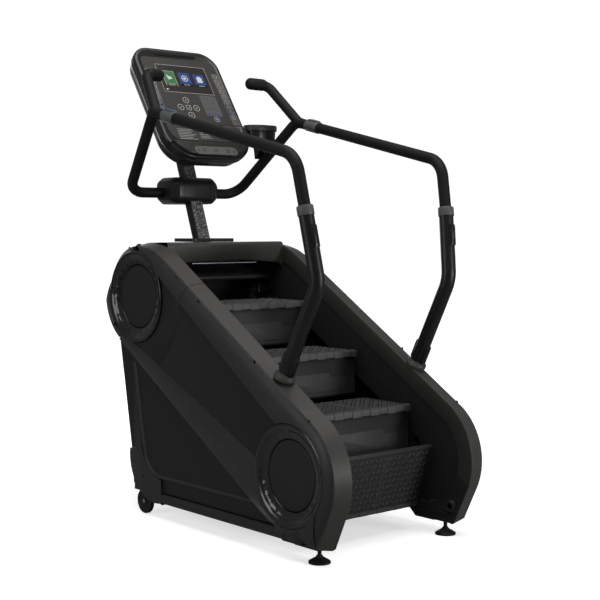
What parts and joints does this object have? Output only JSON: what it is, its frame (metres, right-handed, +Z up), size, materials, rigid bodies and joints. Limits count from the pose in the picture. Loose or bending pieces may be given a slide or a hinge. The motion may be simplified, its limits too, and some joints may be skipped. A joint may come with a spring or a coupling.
{
  "type": "stair climber",
  "caption": "Revolving-stair climbing machine: a belt of steps between two shrouded side frames, with bent handrails, a grip loop, a console on a mast and a cup tray.",
  "frame": {"origin": "on the floor, at the middle of the machine's length and width", "axes": "+X to the user's right, +Y in the climbing direction, +Z up"},
  "size_m": [0.8624, 1.6926, 2.1098],
  "materials": {
    "shroud": "fine-textured satin moulding",
    "panel": "satin",
    "hub_gloss": "gloss",
    "hub_disc": "satin",
    "step_tread": "raised pattern, satin",
    "powder_black": "textured powder coat",
    "base_gloss": "gloss",
    "grip": "matt",
    "collar_grey": "satin",
    "console_case": "semi-gloss",
    "console_face": "satin overlay",
    "screen_glass": "gloss over a lit display",
    "key_grey": "satin",
    "key_blue": "satin",
    "steel_bright": "brushed",
    "brake_cast": "cast, satin",
    "belt_rubber": "matt",
    "wheel_rubber": "matt",
    "foot_rubber": "matt"
  },
  "bodies": {
    "frame": {"base_frame": "base_gloss", "mast": "powder_black", "console_bracket": "powder_black", "clamp_housing": "console_case", "handle_loop": "powder_black", "left_lower_rail": "powder_black", "right_lower_rail": "powder_black", "left_upper_rail": "grip", "right_upper_rail": "grip", "rail_collars": "collar_grey", "rail_bolt_covers": "powder_black", "rail_sensors": "collar_grey", "left_front_shroud": "shroud", "right_front_shroud": "shroud", "left_rear_shroud": "shroud", "right_rear_shroud": "shroud", "left_diagonal_panel": "panel", "right_diagonal_panel": "panel", "hub_rings": "hub_gloss", "hub_discs": "hub_disc", "left_lower_panel": "panel", "right_lower_panel": "panel", "left_inner_wall": "panel", "right_inner_wall": "panel", "top_cover": "shroud", "mast_cover_plate": "powder_black", "rear_guard": "panel", "rear_cover": "panel", "rear_foot_casings": "shroud", "console_shell": "console_case", "console_bezel": "console_case", "console_screen": "screen_glass", "console_overlay": "console_face", "port_bar": "console_face", "cup_holder": "console_case", "bearings": "steel_bright", "step_chains": "steel_bright", "brake_unit": "brake_cast", "drive_belt": "belt_rubber"},
    "drive_shaft": {"drive_shaft": "steel_bright"},
    "idler_shaft": {"idler_shaft": "steel_bright"},
    "flywheel": {"flywheel": "steel_bright"},
    "step_1": {"step_1": "step_tread"},
    "step_2": {"step_2": "step_tread"},
    "step_3": {"step_3": "step_tread"},
    "step_4": {"step_4": "step_tread"},
    "step_5": {"step_5": "step_tread"},
    "step_6": {"step_6": "step_tread"},
    "step_7": {"step_7": "step_tread"},
    "step_8": {"step_8": "step_tread"},
    "left_wheel": {"left_wheel": "wheel_rubber"},
    "right_wheel": {"right_wheel": "wheel_rubber"},
    "left_foot": {"left_foot": "foot_rubber"},
    "right_foot": {"right_foot": "foot_rubber"},
    "nav_up_key": {"nav_up_key": "key_grey"},
    "nav_down_key": {"nav_down_key": "key_grey"},
    "nav_left_key": {"nav_left_key": "key_grey"},
    "nav_right_key": {"nav_right_key": "key_grey"},
    "nav_ok_key": {"nav_ok_key": "key_grey"},
    "start_key": {"start_key": "key_blue"}
  },
  "joints": [
    {"name": "drive_turn", "type": "hinge", "parent": "frame", "child": "drive_shaft", "pos_m": [0, 0.51578, 0.9166], "axis": [1, 0, 0], "range_deg": [-110, 70]},
    {"name": "idler_turn", "type": "hinge", "parent": "frame", "child": "idler_shaft", "pos_m": [0, -0.479, 0.307], "axis": [1, 0, 0], "range_deg": [-110, 70]},
    {"name": "flywheel_turn", "type": "hinge", "parent": "frame", "child": "flywheel", "pos_m": [0, 0.316, 0.262], "axis": [1, 0, 0], "range_deg": [-496.62, 316.21]},
    {"name": "step_1_turn", "type": "hinge", "parent": "frame", "child": "step_1", "pos_m": [0, -0.479, 0.307], "axis": [1, 0, 0], "range_deg": [-110, 70]},
    {"name": "step_2_run", "type": "slide", "parent": "frame", "child": "step_2", "axis": [0, -0.8526, -0.5225], "range_m": [-0.23786, 0.15144]},
    {"name": "step_3_run", "type": "slide", "parent": "frame", "child": "step_3", "axis": [0, -0.8526, -0.5225], "range_m": [-0.23786, 0.15144]},
    {"name": "step_4_run", "type": "slide", "parent": "frame", "child": "step_4", "axis": [0, -0.8526, -0.5225], "range_m": [-0.23786, 0.15144]},
    {"name": "step_5_turn", "type": "hinge", "parent": "frame", "child": "step_5", "pos_m": [0, 0.51578, 0.9166], "axis": [1, 0, 0], "range_deg": [-110, 70]},
    {"name": "step_6_run", "type": "slide", "parent": "frame", "child": "step_6", "axis": [0, 0.8526, 0.5225], "range_m": [-0.23786, 0.15144]},
    {"name": "step_7_run", "type": "slide", "parent": "frame", "child": "step_7", "axis": [0, 0.8526, 0.5225], "range_m": [-0.23786, 0.15144]},
    {"name": "step_8_run", "type": "slide", "parent": "frame", "child": "step_8", "axis": [0, 0.8526, 0.5225], "range_m": [-0.23786, 0.15144]},
    {"name": "left_wheel_roll", "type": "hinge", "parent": "frame", "child": "left_wheel", "pos_m": [-0.385, 0.446, 0.055], "axis": [1, 0, 0], "continuous": true},
    {"name": "right_wheel_roll", "type": "hinge", "parent": "frame", "child": "right_wheel", "pos_m": [0.385, 0.446, 0.055], "axis": [1, 0, 0], "continuous": true},
    {"name": "left_foot_screw", "type": "hinge", "parent": "frame", "child": "left_foot", "pos_m": [-0.348, -0.684, 0], "axis": [0, 0, 1], "range_deg": [-360, 360]},
    {"name": "right_foot_screw", "type": "hinge", "parent": "frame", "child": "right_foot", "pos_m": [0.348, -0.684, 0], "axis": [0, 0, 1], "range_deg": [-360, 360]},
    {"name": "nav_up_press", "type": "slide", "parent": "frame", "child": "nav_up_key", "axis": [0, 0.8339, -0.5519], "range_m": [0, 0.001], "stiffness_N_per_m": 1500},
    {"name": "nav_down_press", "type": "slide", "parent": "frame", "child": "nav_down_key", "axis": [0, 0.8339, -0.5519], "range_m": [0, 0.001], "stiffness_N_per_m": 1500},
    {"name": "nav_left_press", "type": "slide", "parent": "frame", "child": "nav_left_key", "axis": [0, 0.8339, -0.5519], "range_m": [0, 0.001], "stiffness_N_per_m": 1500},
    {"name": "nav_right_press", "type": "slide", "parent": "frame", "child": "nav_right_key", "axis": [0, 0.8339, -0.5519], "range_m": [0, 0.001], "stiffness_N_per_m": 1500},
    {"name": "nav_ok_press", "type": "slide", "parent": "frame", "child": "nav_ok_key", "axis": [0, 0.8339, -0.5519], "range_m": [0, 0.001], "stiffness_N_per_m": 1500},
    {"name": "start_press", "type": "slide", "parent": "frame", "child": "start_key", "axis": [0, 0.8339, -0.5519], "range_m": [0, 0.001], "stiffness_N_per_m": 1500}
  ],
  "couplings": [
    {"joint": "idler_turn", "follows": "drive_turn", "ratio": 1},
    {"joint": "flywheel_turn", "follows": "drive_turn", "ratio": 4.5102},
    {"joint": "step_1_turn", "follows": "drive_turn", "ratio": 1},
    {"joint": "step_2_run", "follows": "drive_turn", "m_per_rad": 0.12379},
    {"joint": "step_3_run", "follows": "drive_turn", "m_per_rad": 0.12379},
    {"joint": "step_4_run", "follows": "drive_turn", "m_per_rad": 0.12379},
    {"joint": "step_5_turn", "follows": "drive_turn", "ratio": 1},
    {"joint": "step_6_run", "follows": "drive_turn", "m_per_rad": 0.12379},
    {"joint": "step_7_run", "follows": "drive_turn", "m_per_rad": 0.12379},
    {"joint": "step_8_run", "follows": "drive_turn", "m_per_rad": 0.12379}
  ]
}
